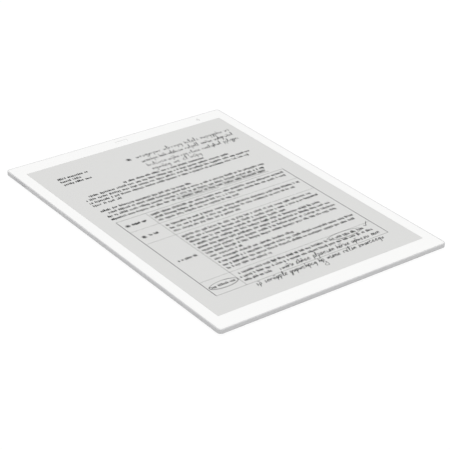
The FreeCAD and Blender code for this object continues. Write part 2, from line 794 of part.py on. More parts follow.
os.makedirs("parts", exist_ok=True)
for name, shape in parts.items():
    if isinstance(shape, list):
        shape = Part.makeCompound(shape)
    sound = shape.isValid() and all(s.Volume > 0 for s in shape.Solids)
    verdict = "ok" if sound else "NOT VALID"
    print(f"{name:24s} solids {len(shape.Solids):3d}  volume {shape.Volume:10.1f} mm3  {verdict}")
    shape.exportStep(f"parts/{name}.step")
print(f"{len(parts)} nodes")
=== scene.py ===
import math

import bpy
import numpy as np
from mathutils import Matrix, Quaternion, Vector


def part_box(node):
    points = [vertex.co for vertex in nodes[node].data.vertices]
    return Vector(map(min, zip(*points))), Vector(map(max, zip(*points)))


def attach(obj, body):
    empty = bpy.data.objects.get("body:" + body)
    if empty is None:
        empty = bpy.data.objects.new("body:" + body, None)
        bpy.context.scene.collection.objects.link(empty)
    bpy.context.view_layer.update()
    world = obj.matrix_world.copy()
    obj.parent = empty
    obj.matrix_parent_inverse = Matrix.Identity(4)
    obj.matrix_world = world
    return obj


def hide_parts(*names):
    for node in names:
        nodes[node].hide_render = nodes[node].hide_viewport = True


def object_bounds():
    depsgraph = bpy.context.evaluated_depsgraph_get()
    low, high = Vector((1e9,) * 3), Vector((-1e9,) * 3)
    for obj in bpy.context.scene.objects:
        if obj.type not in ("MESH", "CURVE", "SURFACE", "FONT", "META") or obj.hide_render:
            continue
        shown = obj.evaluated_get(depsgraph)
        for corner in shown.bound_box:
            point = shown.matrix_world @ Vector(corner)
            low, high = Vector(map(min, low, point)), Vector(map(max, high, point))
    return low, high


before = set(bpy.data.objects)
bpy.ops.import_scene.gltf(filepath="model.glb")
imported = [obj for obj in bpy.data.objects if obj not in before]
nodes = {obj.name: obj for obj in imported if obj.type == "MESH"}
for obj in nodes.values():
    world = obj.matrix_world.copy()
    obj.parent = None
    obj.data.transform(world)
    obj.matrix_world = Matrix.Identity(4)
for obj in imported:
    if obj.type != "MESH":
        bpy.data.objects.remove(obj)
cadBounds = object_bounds()
mm = 0.001
print("frame loaded:", len(nodes), "nodes")

halfX, halfY, frontZ = (v / mm for v in cadBounds[1])
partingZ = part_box("front_bezel")[0].z / mm
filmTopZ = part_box("front_film")[1].z / mm


def addMesh(name, points, faceSets, smoothAngle=None):
    # points: (n, 3) in millimetres. faceSets: arrays of corner numbers, one for each count of corners.
    loops = np.concatenate([f.ravel() for f in faceSets]).astype(np.int32)
    counts = np.concatenate([np.full(len(f), f.shape[1]) for f in faceSets])
    mesh = bpy.data.meshes.new(name)
    mesh.vertices.add(len(points))
    mesh.vertices.foreach_set("co", (np.asarray(points, float) * mm).astype(np.float32).ravel())
    mesh.loops.add(len(loops))
    mesh.loops.foreach_set("vertex_index", loops)
    mesh.polygons.add(len(counts))
    mesh.polygons.foreach_set("loop_start", (np.cumsum(counts) - counts).astype(np.int32))
    mesh.polygons.foreach_set("use_smooth", (counts <= 4) & (smoothAngle is not None))
    mesh.update(calc_edges=True)
    mesh.validate()
    if smoothAngle is not None:
        mesh.set_sharp_from_angle(angle=math.radians(smoothAngle))
    obj = bpy.data.objects.new(name, mesh)
    bpy.context.scene.collection.objects.link(obj)
    return obj


def gridQuads(rows, columns):
    # Quads of a (rows, columns) grid of points whose columns close into a ring.
    i, j = np.meshgrid(np.arange(rows - 1), np.arange(columns), indexing="ij")
    k = (j + 1) % columns
    low, high = i * columns, (i + 1) * columns
    return np.stack([low + j, low + k, high + k, high + j], -1).reshape(-1, 4)


def roundShadeGroup(flatLimit=0.9995, creaseAngle=30):
    # A CAD node is loose flat triangles. This welds them and shades its curved stretches smooth. Faces
    # square to an axis stay flat, so that rounded edges don't bend the light on the big flat faces.
    group = bpy.data.node_groups.new("roundShade", "GeometryNodeTree")
    group.interface.new_socket("Geometry", in_out="INPUT", socket_type="NodeSocketGeometry")
    group.interface.new_socket("Geometry", in_out="OUTPUT", socket_type="NodeSocketGeometry")
    add, link = group.nodes.new, group.links.new
    start, weld, end = add("NodeGroupInput"), add("GeometryNodeMergeByDistance"), add("NodeGroupOutput")
    faces, edges = add("GeometryNodeSetShadeSmooth"), add("GeometryNodeSetShadeSmooth")
    faces.domain, edges.domain = "FACE", "EDGE"
    weld.inputs["Distance"].default_value = 0.001 * mm
    size, parts = add("ShaderNodeVectorMath"), add("ShaderNodeSeparateXYZ")
    largest, curved = (add("ShaderNodeMath") for _ in range(2)), add("FunctionNodeCompare")
    size.operation, curved.operation = "ABSOLUTE", "LESS_THAN"
    firstTwo, allThree = largest
    firstTwo.operation = allThree.operation = "MAXIMUM"
    curved.inputs["B"].default_value = flatLimit
    turn, gentle = add("GeometryNodeInputMeshEdgeAngle"), add("FunctionNodeCompare")
    gentle.operation = "LESS_THAN"
    gentle.inputs["B"].default_value = math.radians(creaseAngle)
    link(start.outputs[0], weld.inputs["Geometry"])
    link(weld.outputs[0], faces.inputs["Geometry"])
    link(faces.outputs[0], edges.inputs["Geometry"])
    link(edges.outputs[0], end.inputs[0])
    link(add("GeometryNodeInputNormal").outputs[0], size.inputs[0])
    link(size.outputs[0], parts.inputs[0])
    link(parts.outputs[0], firstTwo.inputs[0])
    link(parts.outputs[1], firstTwo.inputs[1])
    link(firstTwo.outputs[0], allThree.inputs[0])
    link(parts.outputs[2], allThree.inputs[1])
    link(allThree.outputs[0], curved.inputs["A"])
    link(curved.outputs[0], faces.inputs["Selection"])
    link(turn.outputs["Unsigned Angle"], gentle.inputs["A"])
    link(gentle.outputs[0], edges.inputs["Selection"])
    return group


class Look:
    # A Principled material with a chain of bumps, built up by the calls below, on Object coordinates.
    def __init__(self, name, color, roughness, metallic=0.0, **sockets):
        self.material = bpy.data.materials.new(name)
        self.material.use_nodes = True
        self.tree = self.material.node_tree
        self.shader = self.tree.nodes["Principled BSDF"]
        self.shader.inputs["Base Color"].default_value = (*color, 1)
        self.shader.inputs["Roughness"].default_value = roughness
        self.shader.inputs["Metallic"].default_value = metallic
        for socket, value in sockets.items():
            self.shader.inputs[socket.replace("_", " ")].default_value = value
        self.color, self.roughness, self.normal = color, roughness, None
        self.coordinates = self.tree.nodes.new("ShaderNodeTexCoord").outputs["Object"]

    def node(self, kind, **values):
        made = self.tree.nodes.new(kind)
        for key, value in values.items():
            setattr(made, key, value)
        return made

    def link(self, start, end):
        self.tree.links.new(start, end)

    def stretched(self, scale):
        # Coordinates for a pattern drawn out along the axes whose scale is under 1
        mapping = self.node("ShaderNodeMapping")
        mapping.inputs["Scale"].default_value = scale
        self.link(self.coordinates, mapping.inputs["Vector"])
        return mapping.outputs["Vector"]

    def noise(self, size, detail=3.0, grain=0.5, vector=None):
        # size is the width of one blotch, in millimetres
        made = self.node("ShaderNodeTexNoise")
        made.inputs["Scale"].default_value = 1 / (size * mm)
        made.inputs["Detail"].default_value = detail
        made.inputs["Roughness"].default_value = grain
        self.link(vector or self.coordinates, made.inputs["Vector"])
        return made.outputs["Fac"]

    def cells(self, size, feature="F1"):
        made = self.node("ShaderNodeTexVoronoi", feature=feature)
        made.inputs["Scale"].default_value = 1 / (size * mm)
        self.link(self.coordinates, made.inputs["Vector"])
        return made.outputs["Distance"]

    def lines(self, pitch, direction="X", profile="SIN", wobble=0.0):
        # pitch is the distance between lines along an axis: Wave has 20 / (2 pi) bands per unit of scale
        made = self.node("ShaderNodeTexWave", bands_direction=direction, wave_profile=profile)
        made.inputs["Scale"].default_value = math.pi / 10 / (pitch * mm)
        made.inputs["Distortion"].default_value = wobble
        self.link(self.coordinates, made.inputs["Vector"])
        return made.outputs["Fac"]

    def ramp(self, factor, low, high, start=0.0, end=1.0):
        made = self.node("ShaderNodeMapRange")
        for socket, value in zip(("From Min", "From Max", "To Min", "To Max"), (low, high, start, end)):
            made.inputs[socket].default_value = value
        self.link(factor, made.inputs["Value"])
        return made.outputs["Result"]

    def math(self, operation, first, second):
        made = self.node("ShaderNodeMath", operation=operation)
        for socket, value in zip(made.inputs, (first, second)):
            if isinstance(value, float):
                socket.default_value = value
            else:
                self.link(value, socket)
        return made.outputs["Value"]

    def mix(self, factor, first, second):
        made = self.node("ShaderNodeMix", data_type="RGBA")
        self.link(factor, made.inputs["Factor"])
        colorSockets = made.inputs[6], made.inputs[7]
        for socket, value in zip(colorSockets, (first, second)):
            if isinstance(value, tuple):
                socket.default_value = (*value, 1)
            else:
                self.link(value, socket)
        return made.outputs[2]

    def tint(self, factor, darker=0.94, lighter=1.04, base=None):
        # Colour that drifts between a darker and a lighter version of the base
        color = base or self.color
        shades = [tuple(min(1.0, c * k) for c in color) for k in (darker, lighter)]
        result = self.mix(factor, *shades)
        self.link(result, self.shader.inputs["Base Color"])
        return result

    def polish(self, factor, spread=0.06):
        # Roughness that drifts by spread either side of the material's own
        rough = self.ramp(factor, 0.25, 0.75, self.roughness - spread, self.roughness + spread)
        self.link(rough, self.shader.inputs["Roughness"])

    def bump(self, height, depth, strength=1.0):
        # depth is the relief in millimetres
        made = self.node("ShaderNodeBump")
        made.inputs["Strength"].default_value = strength
        made.inputs["Distance"].default_value = depth * mm
        self.link(height, made.inputs["Height"])
        if self.normal is not None:
            self.link(self.normal, made.inputs["Normal"])
        self.normal = made.outputs["Normal"]
        self.link(self.normal, self.shader.inputs["Normal"])


def paint(material, *names):
    for name in names:
        obj = nodes.get(name) or bpy.data.objects[name]
        if not obj.material_slots:
            obj.data.materials.append(material)
        for slot in obj.material_slots:
            slot.material = material


view = {
    "place": (-668.0, -869.6, 595.7),
    "aim": (-15.8, -29.8, 5.9),
    "roll": 1.755,          # degrees, anticlockwise seen from behind
    "lens": 121.64,         # millimetres
    "sensor": 36,
    "nearest": 0.05,        # metres
    "farthest": 50,
}


def addCamera():
    data = bpy.data.cameras.new("studioCamera")
    data.lens, data.sensor_width = view["lens"], view["sensor"]
    data.clip_start, data.clip_end = view["nearest"], view["farthest"]
    camera = bpy.data.objects.new("studioCamera", data)
    bpy.context.scene.collection.objects.link(camera)
    place, aim = Vector(view["place"]) * mm, Vector(view["aim"]) * mm
    camera.location = place
    camera.rotation_mode = "QUATERNION"
    turn = Quaternion((0, 0, 1), math.radians(view["roll"]))
    camera.rotation_quaternion = (aim - place).to_track_quat("-Z", "Y") @ turn
    bpy.context.scene.camera = camera


studio = {
    "floorSize": 12.0,      # metres
    "floorDrop": 0.02,      # below the back, so that the two faces don't meet
    "floorColor": (0.9, 0.9, 0.9),
    "paperColor": (0.06, 0.06, 0.06),
    "paperGlow": 0.95,      # looked at directly, the floor is white paper with a faint shadow
    "skyLight": 0.45,
    "keyStrength": 2.36,
    "keySpread": 34,        # degrees across
    "keyTilt": (-0.5, 4),   # degrees: towards +X, towards -Y
}


def addStudio():
    size = studio["floorSize"]
    corners = np.array([[-1, -1, 0], [1, -1, 0], [1, 1, 0], [-1, 1, 0]]) * size / 2 / mm
    floor = addMesh("floor", corners, [np.array([[0, 1, 2, 3]])])
    floor.location.z = -studio["floorDrop"] * mm
    look = Look("floorPaper", studio["floorColor"], 0.9, Specular_IOR_Level=0.1)
    look.shader.inputs["Emission Color"].default_value = (1, 1, 1, 1)
    seen = look.node("ShaderNodeLightPath").outputs["Is Camera Ray"]
    look.link(look.math("MULTIPLY", seen, studio["paperGlow"]), look.shader.inputs["Emission Strength"])
    shown = look.mix(seen, studio["floorColor"], studio["paperColor"])
    look.link(shown, look.shader.inputs["Base Color"])
    paint(look.material, "floor")

    sun = bpy.data.lights.new("keyLight", "SUN")
    sun.energy, sun.angle = studio["keyStrength"], math.radians(studio["keySpread"])
    lamp = bpy.data.objects.new("keyLight", sun)
    tiltX, tiltY = (math.tan(math.radians(v)) for v in studio["keyTilt"])
    lamp.rotation_mode = "QUATERNION"
    lamp.rotation_quaternion = Vector((-tiltX, tiltY, -1)).to_track_quat("-Z", "Y")
    bpy.context.scene.collection.objects.link(lamp)

    world = bpy.data.worlds.new("softRoom")
    world.use_nodes = True
    tree = world.node_tree
    background = tree.nodes["Background"]
    background.inputs["Color"].default_value = (1, 1, 1, 1)
    seen = tree.nodes.new("ShaderNodeLightPath")
    strength = tree.nodes.new("ShaderNodeMapRange")
    strength.inputs["To Min"].default_value = studio["skyLight"]
    strength.inputs["To Max"].default_value = 1.0
    tree.links.new(seen.outputs["Is Camera Ray"], strength.inputs["Value"])
    tree.links.new(strength.outputs["Result"], background.inputs["Strength"])
    bpy.context.scene.world = world
    bpy.context.scene.view_settings.view_transform = "Standard"


addCamera()
addStudio()
print("camera and studio ready")


cover = {
    "cornerRadius": 3.2,
    "flatCornerRadius": 9.0,
    "reach": 14.0,          # from the edge in to where the back is flat
    "groove": 0.15,
    "wall": 1.5,
    "floor": 1.0,
    "innerReach": 14.5,
    "innerRise": 0.05,      # the inside is worked out from this far above the rim
    "roundSteps": 16,       # rows down the curved underside
    "cornerSteps": 14,      # columns round each corner
    "alongX": (84, 15),     # the columns on a straight side: furthest one, and how many
    "alongY": (124, 19),
    "slotX": -40.0,         # notch under the charging socket
    "slotZ": 3.35,
    "slotSize": (8.08, 2.98),
    "slotBend": 64.4,       # degrees of the notch's round ends that lie below the rim
    "slotSteps": 8,
    "creaseAngle": 28,
}


def outlineColumns(slotXs):
    # Ring of columns round a rounded rectangle. A ring at inset d with corner radius r has its points at
    # x = ax (halfX - d) + bx r + cx, and y alike: corners turn with bx and by, sides keep to cx or cy.
    columns = []
    angles = np.linspace(0, math.pi / 2, cover["cornerSteps"])
    (farX, countX), (farY, countY) = cover["alongX"], cover["alongY"]
    alongX = np.unique(np.concatenate([np.linspace(-farX, farX, countX), slotXs]))
    alongY = np.linspace(-farY, farY, countY)
    for quarter, (sx, sy) in enumerate(((1, -1), (1, 1), (-1, 1), (-1, -1))):
        turn = angles + (quarter - 1) * math.pi / 2
        columns.append(np.stack([np.full_like(turn, sx), np.cos(turn) - sx, 0 * turn,
                                 np.full_like(turn, sy), np.sin(turn) - sy, 0 * turn], -1))
        side = (alongY, alongX[::-1], alongY[::-1], alongX)[quarter]
        zero = 0 * side
        if quarter % 2 == 0:
            columns.append(np.stack([zero + sx, zero, zero, zero, zero, side], -1))
        else:
            columns.append(np.stack([zero, zero, side, zero + sy, zero, zero], -1))
    return np.concatenate(columns).T


def buildBackCover():
    # A closed shell: rows run from the flat back out and up its curved side, over the rim and down inside.
    # The curved side is a quarter ellipse, inset = reach (1 - cos a) and z = top (1 - sin a). The inside is
    # another, which starts a wall's thickness in from the edge and ends a floor's thickness up.
    slotRadius = cover["slotSize"][1] / 2
    slotHalf = cover["slotSize"][0] / 2 - slotRadius
    bend = np.radians(np.linspace(0, cover["slotBend"], cover["slotSteps"]))
    offsets = np.concatenate([slotHalf + slotRadius * np.sin(bend), -slotHalf - slotRadius * np.sin(bend)])
    ax, bx, cx, ay, by, cy = outlineColumns(cover["slotX"] + offsets)

    fromSlot = np.abs(cx - cover["slotX"])
    away = np.clip(fromSlot - slotHalf, 0, slotRadius)
    inSlot = (ay > 0) & (by == 0) & (fromSlot < slotHalf + slotRadius) & (cx != 0)
    slotFloor = cover["slotZ"] - np.sqrt(slotRadius ** 2 - away ** 2)
    top = np.where(inSlot, np.minimum(partingZ, slotFloor), partingZ)

    groove, wall, reach = cover["groove"], cover["wall"], cover["reach"]
    outerTop = partingZ - groove
    steps = np.linspace(math.pi / 2, 0, cover["roundSteps"])[:, None]
    limit = np.arcsin(np.clip(1 - top / outerTop, 0, 1))
    angle = np.maximum(steps, limit)
    outerShare = 1 - np.cos(angle)
    outerInset, outerZ = reach * outerShare, outerTop * (1 - np.sin(angle))
    outerRadius = cover["cornerRadius"] * (1 - outerShare) + cover["flatCornerRadius"] * outerShare

    innerTop = partingZ + cover["innerRise"]
    drop = innerTop - cover["floor"]
    innerLimit = np.arcsin(np.clip((innerTop - top) / drop, 0, 1))
    innerAngle = np.maximum(steps[::-1], innerLimit)
    innerShare = 1 - np.cos(innerAngle)
    innerInset = wall + (cover["innerReach"] - wall) * innerShare
    innerZ = innerTop - drop * np.sin(innerAngle)
    cornerRadius = cover["cornerRadius"] - wall
    innerRadius = cornerRadius * (1 - innerShare) + cover["flatCornerRadius"] * innerShare

    rimInset = np.maximum(outerInset[-1], groove)
    rimRadius = cover["cornerRadius"] - groove + 0 * rimInset
    inset = np.vstack([outerInset, rimInset, rimInset, innerInset])
    z = np.vstack([outerZ, np.minimum(outerTop, top), top, innerZ])
    radius = np.vstack([outerRadius, rimRadius, rimRadius, innerRadius])
    x = ax * (halfX - inset) + bx * radius + cx
    y = ay * (halfY - inset) + by * radius + cy
    points = np.stack([x, y, z], -1).reshape(-1, 3)

    rows, columns = inset.shape
    flat = np.arange(columns)[::-1][None, :]
    inside = ((rows - 1) * columns + np.arange(columns))[None, :]
    faceSets = [gridQuads(rows, columns), flat, inside]
    piece = addMesh("back_cover_shell", points, faceSets, cover["creaseAngle"])
    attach(piece, "housing")
    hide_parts("back_cover")


buildBackCover()
print("back cover built")


page = {
    "paperZ": filmTopZ,
    "depth": 0.006,         # ink reaches this far into the film
    "proud": 0.008,         # and stands this far above it
    "lineHeight": 5.4,
    "left": -85.8,
    "column": -55.0,        # left edge of the type in the table's wide column
}

typeStyle = {
    "seed": 41,
    "xHeight": 2.1,
    "advance": 1.62,        # from one character to the next
    "weight": 0.66,         # stroke width
    "unevenness": 0.3,      # share by which the weight of a character may differ
    "footWeight": 0.62,     # the small strokes are this much thinner
    "jitter": 0.05,         # sideways, in character widths
    "wordLengths": (1, 2, 3, 3, 4, 4, 5, 6, 7, 9),
}

# Blocks of greeked type, by piece. Each gives the height of its first line, its left edge, where its lines
# end, how far the first line is indented and how heavy it is.
typeBlocks = {
    "page_opening_text": (
        {"top": 110.8, "ends": (-56, -65.6, -58.4), "weight": 1.1},
        {"top": 77.0, "left": -42, "ends": (41.6,), "weight": 1.15},
        {"top": 71.4, "indent": 5.8, "ends": (64, 83, 78, -58)},
        {"top": 44.4, "ends": (4,), "weight": 1.1},
        {"top": 39.0, "indent": 4.2, "ends": (78, 73.6, 71)},
    ),
    "page_table_text": (
        {"top": 17.2, "left": page["column"], "ends": (82, 80, 26)},
        {"top": -4.2, "left": page["column"], "ends": (82, 73, 11)},
        {"top": -25.6, "left": page["column"], "ends": (77, 80, 41, 73, 79, 80, 77, -24, 23, 81, 78, -12)},
        {"top": -95.8, "left": page["column"], "indent": 2.4, "ends": (73, 78, -29), "weight": 1.1},
    ),
    "page_table_headings": (
        {"top": 11.8, "left": -77, "ends": (-63,), "weight": 1.15},
        {"top": -9.6, "left": -75, "ends": (-66,), "weight": 1.15},
        {"top": -55.6, "left": -80, "ends": (-62,), "weight": 1.15},
        {"top": -101.6, "left": -82.6, "ends": (-60.2,), "weight": 0.78},
    ),
}

# Stroke shapes in one character cell: x over the advance, y over the x-height. They make no letters.
stemStrokes = np.array([
    [(0.16, 0.0), (0.16, 1.0)],
    [(0.20, 0.0), (0.20, 1.0)],
    [(0.24, 0.0), (0.24, 1.5)],
    [(0.18, -0.45), (0.18, 1.0)],
    [(0.14, 0.0), (0.52, 1.0)],
])
barStrokes = np.array([
    [(0.56, 0.0), (0.56, 1.0)],
    [(0.56, 0.0), (0.56, 1.5)],
    [(0.10, 0.06), (0.66, 0.06)],
    [(0.12, 0.94), (0.62, 0.94)],
    [(0.14, 0.52), (0.60, 0.52)],
    [(0.54, 0.0), (0.20, 1.0)],
])
bentStrokes = np.array([
    [(0.12, 0.72), (0.26, 0.98), (0.50, 0.94), (0.62, 0.60)],
    [(0.12, 0.30), (0.22, 0.03), (0.48, 0.03), (0.62, 0.36)],
    [(0.60, 0.96), (0.22, 0.86), (0.20, 0.20), (0.58, 0.05)],
    [(0.14, 0.95), (0.58, 0.84), (0.60, 0.18), (0.16, 0.04)],
    [(0.16, 0.98), (0.54, 0.76), (0.24, 0.40), (0.60, 0.06)],
])
footStrokes = np.array([
    [(0.02, 0.05), (0.36, 0.05)],
    [(0.40, 0.05), (0.76, 0.05)],
    [(0.02, 0.95), (0.30, 0.95)],
    [(0.30, 0.50), (0.62, 0.56)],
])


def ribbonSolids(centres, halfWidths, low, high):
    # Flat closed strips. centres: (strokes, points, 2). Each point gets a left and a right edge square to
    # the path, at two heights, so a strip is a box section carried along its path, capped at each end.
    step = np.gradient(centres, axis=1)
    across = np.stack([-step[..., 1], step[..., 0]], -1)
    across /= np.maximum(np.linalg.norm(across, axis=-1, keepdims=True), 1e-9)
    across = across * np.broadcast_to(halfWidths, centres.shape[:2])[..., None]
    strokes, count = centres.shape[:2]
    corners = np.empty((strokes, count, 4, 3))
    for number, (side, height) in enumerate(((1, high), (-1, high), (-1, low), (1, low))):
        corners[:, :, number, :2] = centres + side * across
        corners[:, :, number, 2] = height
    first = (np.arange(strokes) * count * 4)[:, None, None]
    at = (np.arange(count - 1) * 4)[None, :, None]
    k = np.arange(4)[None, None, :]
    nextK = (k + 1) % 4
    quads = np.stack([first + at + k, first + at + nextK, first + at + 4 + nextK, first + at + 4 + k], -1)
    start = first[:, 0] + np.array([3, 2, 1, 0])
    end = first[:, 0] + (count - 1) * 4 + np.array([0, 1, 2, 3])
    return corners.reshape(-1, 3), np.concatenate([quads.reshape(-1, 4), start, end])


def joinSolids(name, solids):
    points, faces, count = [], [], 0
    for corners, quads in solids:
        points.append(corners)
        faces.append(quads + count)
        count += len(corners)
    piece = addMesh(name, np.concatenate(points), [np.concatenate(faces)])
    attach(piece, "housing")


def inkHeights():
    return page["paperZ"] - page["depth"], page["paperZ"] + page["proud"]


def typeCells(rng, blocks):
    # Every line is a row of evenly spaced cells, with blank ones between words. Rows of x, y, weight.
    style = typeStyle
    cells = []
    for block in blocks:
        for number, end in enumerate(block["ends"]):
            start = block.get("left", page["left"]) + (block.get("indent", 0) if number == 0 else 0)
            count = max(3, int(round((end - start) / style["advance"])))
            blanks = np.cumsum(rng.choice(style["wordLengths"], count) + 1) - 1
            kept = np.setdiff1d(np.arange(count), blanks[blanks < count - 2])
            nudge = rng.uniform(-style["jitter"], style["jitter"], len(kept))
            x = start + (kept + nudge) * (end - start) / count
            base = block["top"] - number * page["lineHeight"] - style["xHeight"] / 2
            heavy = block.get("weight", 1.0) * (1 + style["unevenness"] * rng.uniform(-1, 1, len(kept)))
            cells.append(np.stack([x, 0 * x + base, heavy], -1))
    return np.concatenate(cells)


def buildPrint():
    # Greeked type: each cell gets a stem, a bar or second stem, a bend and a foot, picked at random.
    rng = np.random.default_rng(typeStyle["seed"])
    unit = np.array([typeStyle["advance"], typeStyle["xHeight"]])
    low, high = inkHeights()
    for name, blocks in typeBlocks.items():
        cells = typeCells(rng, blocks)
        solids = []
        for shapes in (stemStrokes, barStrokes, bentStrokes, footStrokes):
            centres = cells[:, None, :2] + shapes[rng.integers(0, len(shapes), len(cells))] * unit
            thin = typeStyle["footWeight"] if shapes is footStrokes else 1.0
            half = np.repeat(cells[:, 2:] * typeStyle["weight"] * thin / 2, centres.shape[1], axis=1)
            solids.append(ribbonSolids(centres, half, low, high))
        joinSolids(name, solids)


def straightRule(start, end, width):
    low, high = inkHeights()
    return ribbonSolids(np.array([[start, end]], float), np.full((1, 2), width / 2), low, high)


table = {
    "left": -85.8, "right": 85.0, "top": 22.0, "bottom": -112.4,
    "column": -57.4,
    "rows": (2.0, -20.4, -90.6),
    "sideWidth": 0.55, "endWidth": 0.28, "columnWidth": 0.26, "rowWidth": 0.2,
}


def buildTableRules():
    left, right, top, bottom = (table[name] for name in ("left", "right", "top", "bottom"))
    rules = [((x, top), (x, bottom), table["sideWidth"]) for x in (left, right)]
    rules += [((left, y), (right, y), table["endWidth"]) for y in (top, bottom)]
    rules += [((left, y), (right, y), table["rowWidth"]) for y in table["rows"]]
    rules += [((table["column"], top), (table["column"], bottom), table["columnWidth"])]
    joinSolids("page_table_rules", [straightRule(*rule) for rule in rules])


pen = {
    "seed": 7,
    "width": 0.44,
    "boldWidth": 0.56,      # the two lines at the foot
    "pointsPerSpan": 4,
    "nibAngle": 0.5,        # radians: a stroke drawn this way is the thinnest
    "nibShares": (0.86, 0.24),  # of the width: the thinnest stroke, and what a square one adds
    "tipShares": (0.55, 0.35),  # of the width: at the tip, and gained with each point after it
    "proud": 0.002,         # above the printed ink
    # From here on in x-heights, or as factors
    "unitWidths": (0.84, 1.02),
    "unitHeights": (0.9, 1.1),
    "unitGaps": (0.26, 0.38),
    "unitDrift": 0.06,      # up or down
    "wordLengths": (2, 10),     # units, from the first number to one below the second
    "wordGaps": (0.6, 0.9),
    "crossChance": 0.5,     # of a word with a cross bar
    "crossBar": ((0, 1.42), (0.4, 1.52), (0.85, 1.46)),
    "starArms": (8, 42, 78, 115, 150),  # degrees
}

# Pen movements over one unit of writing, in x-heights. Strung together at random they say nothing.
penUnits = (
    ((0.64, 0.84), (0.30, 1.00), (0.02, 0.48), (0.30, 0.00), (0.70, 0.24)),
    ((0.02, 0.80), (0.14, 0.96), (0.12, 0.04), (0.40, 0.90), (0.66, 0.74), (0.66, 0.02)),
    ((0.02, 0.96), (0.10, 0.18), (0.36, 0.02), (0.66, 0.90), (0.72, 0.06)),
    ((0.06, 0.44), (0.56, 0.60), (0.40, 1.02), (0.06, 0.50), (0.34, 0.00), (0.74, 0.26)),
    ((0.04, 0.20), (0.44, 1.26), (0.44, 2.02), (0.20, 1.86), (0.16, 0.24), (0.46, 0.02)),
    ((0.16, 1.96), (0.06, 0.04), (0.34, 0.86), (0.62, 0.70), (0.66, 0.02)),
    ((0.62, 0.88), (0.16, 0.96), (0.10, 0.34), (0.44, 0.14), (0.68, 0.88), (0.52, -0.80), (0.12, -0.74)),
    ((0.00, 0.92), (0.22, 0.06), (0.46, 0.84), (0.66, 0.06), (0.92, 0.92)),
    ((0.12, 0.98), (0.10, 0.12), (0.34, 0.02)),
    ((0.02, 0.94), (0.12, 0.06), (0.16, 0.72), (0.58, 0.96)),
    ((0.60, 0.90), (0.26, 0.98), (0.30, 0.56), (0.62, 0.30), (0.38, 0.00), (0.06, 0.12)),
    ((0.10, 0.96), (0.04, -0.84), (0.14, 0.84), (0.56, 0.90), (0.60, 0.24), (0.18, 0.06)),
)


def splineThrough(knots, perSpan):
    # Catmull-Rom curve through the knots: a span is a cubic whose end slopes join the two neighbours.
    knots = np.asarray(knots, float)
    padded = np.vstack([2 * knots[0] - knots[1], knots, 2 * knots[-1] - knots[-2]])
    a, b, c, d = (padded[i:len(padded) - 3 + i, None, :] for i in range(4))
    t = np.linspace(0, 1, perSpan, endpoint=False)[None, :, None]
    squared, cubed = 2 * a - 5 * b + 4 * c - d, 3 * b - a - 3 * c + d
    spans = 0.5 * (2 * b + (c - a) * t + squared * t ** 2 + cubed * t ** 3)
    return np.vstack([spans.reshape(-1, 2), knots[-1:]])


def penStroke(knots, width, perSpan=pen["pointsPerSpan"]):
    # A pen line: its width grows and shrinks with the direction of the stroke, as a slanted nib's does,
    # and its two ends taper.
    path = splineThrough(knots, perSpan)
    step = np.gradient(path, axis=0)
    direction = np.arctan2(step[:, 1], step[:, 0])
    thinnest, added = pen["nibShares"]
    tip, gain = pen["tipShares"]
    fromEnd = np.minimum(np.arange(len(path)), np.arange(len(path))[::-1])
    taper = np.minimum(1, fromEnd * gain + tip)
    half = width / 2 * (thinnest + added * np.abs(np.sin(direction - pen["nibAngle"]))) * taper
    low, high = inkHeights()
    return ribbonSolids(path[None], half[None], low, high + pen["proud"])


def penWord(rng, x, y, count, size, joined, slant):
    # Units set one after another on the line. joined is how likely each is to run on from the last.
    runs, at = [], 0.0
    for _ in range(count):
        unit = np.array(penUnits[rng.integers(len(penUnits))])
        unit = unit * (rng.uniform(*pen["unitWidths"]), rng.uniform(*pen["unitHeights"]))
        placed = unit + (at, rng.uniform(-pen["unitDrift"], pen["unitDrift"]))
        if runs and rng.random() < joined:
            runs[-1] = np.vstack([runs[-1], placed])
        else:
            runs.append(placed)
        at += unit[:, 0].max() + rng.uniform(*pen["unitGaps"])
    shear = np.array([[1, 0], [slant, 1]])
    return [run @ shear * size + (x, y) for run in runs], at * size


def penLine(rng, start, end, y, size, width, climb, joined, slant=0.15):
    # Words of uneven length with gaps between, on a base line that climbs, fitted to the line's end.
    runs, x = [], start
    while x < end - 1.5 * size:
        words, length = penWord(rng, x, y, rng.integers(*pen["wordLengths"]), size, joined, slant)
        if rng.random() < pen["crossChance"]:
            cross = x + rng.uniform(0.2, 0.7) * length
            words.append(np.array(pen["crossBar"]) * size + (cross, y))
        runs += words
        x += length + rng.uniform(*pen["wordGaps"]) * size
    lastGap = np.mean(pen["wordGaps"]) * size
    fit = (end - start) / (x - lastGap - start)
    solids = []
    for run in runs:
        along = run[:, 0] - start
        fitted = np.stack([start + along * fit, run[:, 1] + climb * along / (x - start)], -1)
        solids.append(penStroke(fitted, width))
    return solids


def penLoop(rng, x, y, halfWidth, halfHeight, turns, width, first=2.6, knotsPerTurn=26):
    # A hand-drawn ellipse: its radius wavers by a twentieth as it goes round, and slowly grows.
    angle = np.linspace(first, first + turns * 2 * math.pi, int(knotsPerTurn * turns))
    waver = 1 + 0.05 * np.sin(1.7 * angle + rng.uniform(0, 6)) + 0.02 * (angle - first) / math.pi
    loopX, loopY = x + halfWidth * waver * np.cos(angle), y + halfHeight * waver * np.sin(angle)
    return penStroke(np.stack([loopX, loopY], -1), width, 3)


def penStar(rng, x, y, size):
    # Crossed strokes through one point, each a little longer or shorter and bent at the middle
    solids = []
    for angle in np.radians(pen["starArms"]):
        arm = size * rng.uniform(0.85, 1.15) * np.array([math.cos(angle), math.sin(angle)])
        middle = rng.uniform(-0.12, 0.12, 2) * size
        solids.append(penStroke([(x, y) - arm, (x, y) + middle, (x, y) + arm], pen["boldWidth"]))
    return solids


